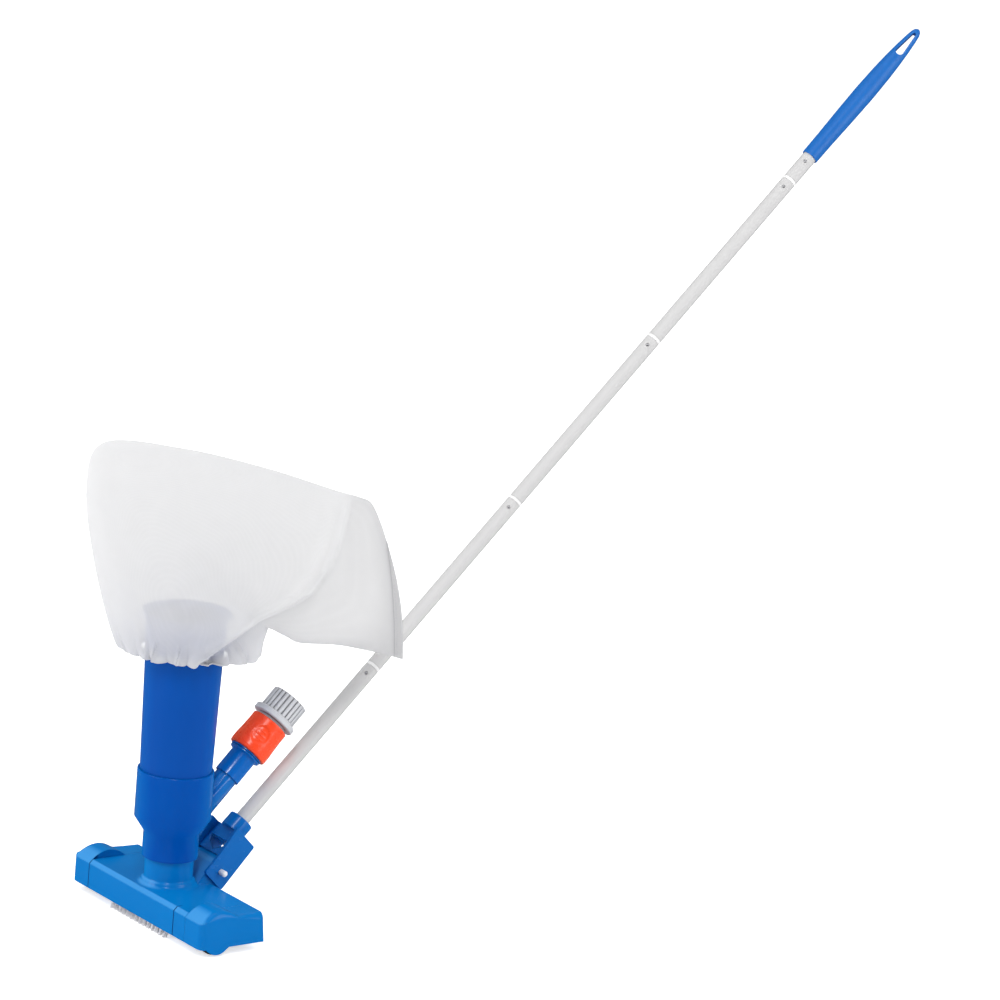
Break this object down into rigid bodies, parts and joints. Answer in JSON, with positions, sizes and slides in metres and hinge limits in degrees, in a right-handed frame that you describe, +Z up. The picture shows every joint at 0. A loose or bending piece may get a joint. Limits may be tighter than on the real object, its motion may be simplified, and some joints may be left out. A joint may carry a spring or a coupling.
{
  "type": "manual vacuum head",
  "caption": "Manual pool vacuum head with wheels, brushes, riser tube with mesh bag, angled hose inlet with quick coupler, and a sectional pole on a swivel bracket.",
  "frame": {"origin": "middle of the suction plate's underside, on the axis of the riser tube", "axes": "+X along the suction head, +Y to the rear where the pole leaves, +Z up"},
  "size_m": [0.2574, 1.0151, 0.9161],
  "materials": {
    "blue_plastic": "glossy moulded plastic",
    "tube_plastic": "semi-gloss extruded tube",
    "grip_plastic": "satin moulded grip",
    "orange_plastic": "glossy moulded plastic",
    "grey_plastic": "satin moulded plastic",
    "white_plastic": "satin moulded plastic",
    "bristle": "nylon filament",
    "pole_aluminium": "satin anodised",
    "steel": "plated",
    "black_rubber": "moulded rubber",
    "mesh_fabric": "fine translucent mesh"
  },
  "bodies": {
    "head": {"head_shell": "blue_plastic", "end_cap_left": "blue_plastic", "end_cap_right": "blue_plastic", "axle_left": "steel", "axle_right": "steel", "base_plate": "blue_plastic", "base_screw_1": "steel", "base_screw_2": "steel", "base_screw_3": "steel", "base_screw_4": "steel", "brush_strip_front": "white_plastic", "brush_strip_rear": "white_plastic", "bristles_front": "bristle", "bristles_rear": "bristle", "venturi_body": "blue_plastic", "jet_nozzle": "blue_plastic", "riser_tube": "tube_plastic", "bag": "mesh_fabric", "bag_elastic": "mesh_fabric", "pivot_pin": "white_plastic", "pin_clip": "steel", "inlet_adapter": "blue_plastic", "nipple_seal": "black_rubber"},
    "wheel_left": {"wheel_left": "black_rubber"},
    "wheel_right": {"wheel_right": "black_rubber"},
    "coupler": {"coupler_body": "grey_plastic", "coupler_seal": "black_rubber", "collar_spring": "steel"},
    "collar": {"release_collar": "orange_plastic"},
    "claw_1": {"latch_claw_1": "grey_plastic"},
    "claw_2": {"latch_claw_2": "grey_plastic"},
    "collet": {"hose_collet": "white_plastic"},
    "nut": {"clamp_nut": "grey_plastic"},
    "pole": {"swivel_bracket": "blue_plastic", "pole_section_1": "pole_aluminium", "pole_section_2": "pole_aluminium", "pole_section_3": "pole_aluminium", "pole_section_4": "pole_aluminium", "pole_section_5": "pole_aluminium", "pole_joiner_1": "white_plastic", "pole_joiner_2": "white_plastic", "pole_joiner_3": "white_plastic", "pole_joiner_4": "white_plastic", "grip_plug": "white_plastic", "grip": "grip_plastic"},
    "button_1": {"snap_button_1": "steel", "button_spring_1": "steel"},
    "button_2": {"snap_button_2": "steel", "button_spring_2": "steel"},
    "button_3": {"snap_button_3": "steel", "button_spring_3": "steel"},
    "button_4": {"snap_button_4": "steel", "button_spring_4": "steel"},
    "button_5": {"snap_button_5": "steel", "button_spring_5": "steel"}
  },
  "joints": [
    {"name": "pole_tilt", "type": "hinge", "parent": "head", "child": "pole", "pos_m": [0, 0.0496, 0.0423], "axis": [1, 0, 0], "range_deg": [-36, 5], "stiffness_Nm_per_rad": 8, "springref_deg": 5.91},
    {"name": "wheel_left_spin", "type": "hinge", "parent": "head", "child": "wheel_left", "pos_m": [-0.112, -0.015, 0.0082], "axis": [1, 0, 0], "continuous": true},
    {"name": "wheel_right_spin", "type": "hinge", "parent": "head", "child": "wheel_right", "pos_m": [0.112, -0.015, 0.0082], "axis": [1, 0, 0], "continuous": true},
    {"name": "coupler_swivel", "type": "hinge", "parent": "head", "child": "coupler", "pos_m": [0, 0.09631, 0.17139], "axis": [0, 0.6959, 0.7181], "continuous": true},
    {"name": "collar_slide", "type": "slide", "parent": "coupler", "child": "collar", "axis": [0, 0.6959, 0.7181], "range_m": [0, 0.003], "stiffness_N_per_m": 1500, "springref_m": -0.002},
    {"name": "claw_1_spread", "type": "slide", "parent": "coupler", "child": "claw_1", "axis": [1, 0, 0], "range_m": [0, 0.0012]},
    {"name": "claw_2_spread", "type": "slide", "parent": "coupler", "child": "claw_2", "axis": [-1, 0, 0], "range_m": [0, 0.0012]},
    {"name": "collet_travel", "type": "slide", "parent": "coupler", "child": "collet", "axis": [0, 0.6959, 0.7181], "range_m": [0, 0.0051]},
    {"name": "nut_turn", "type": "hinge", "parent": "collet", "child": "nut", "pos_m": [0, 0.12874, 0.20485], "axis": [0, 0.6959, 0.7181], "range_deg": [0, 720]},
    {"name": "button_1_press", "type": "slide", "parent": "pole", "child": "button_1", "axis": [-0.7193, 0.4869, -0.4955], "range_m": [0, 0.0019], "stiffness_N_per_m": 120, "springref_m": -0.001},
    {"name": "button_2_press", "type": "slide", "parent": "pole", "child": "button_2", "axis": [-0.7193, 0.4869, -0.4955], "range_m": [0, 0.0019], "stiffness_N_per_m": 120, "springref_m": -0.001},
    {"name": "button_3_press", "type": "slide", "parent": "pole", "child": "button_3", "axis": [-0.7193, 0.4869, -0.4955], "range_m": [0, 0.0019], "stiffness_N_per_m": 120, "springref_m": -0.001},
    {"name": "button_4_press", "type": "slide", "parent": "pole", "child": "button_4", "axis": [-0.7193, 0.4869, -0.4955], "range_m": [0, 0.0019], "stiffness_N_per_m": 120, "springref_m": -0.001},
    {"name": "button_5_press", "type": "slide", "parent": "pole", "child": "button_5", "axis": [-0.7193, 0.4869, -0.4955], "range_m": [0, 0.0019], "stiffness_N_per_m": 120, "springref_m": -0.001}
  ],
  "couplings": [
    {"joint": "claw_1_spread", "follows": "collar_slide", "ratio": 0.4},
    {"joint": "claw_2_spread", "follows": "collar_slide", "ratio": 0.4},
    {"joint": "collet_travel", "follows": "nut_turn", "m_per_rad": 0.00039789}
  ]
}
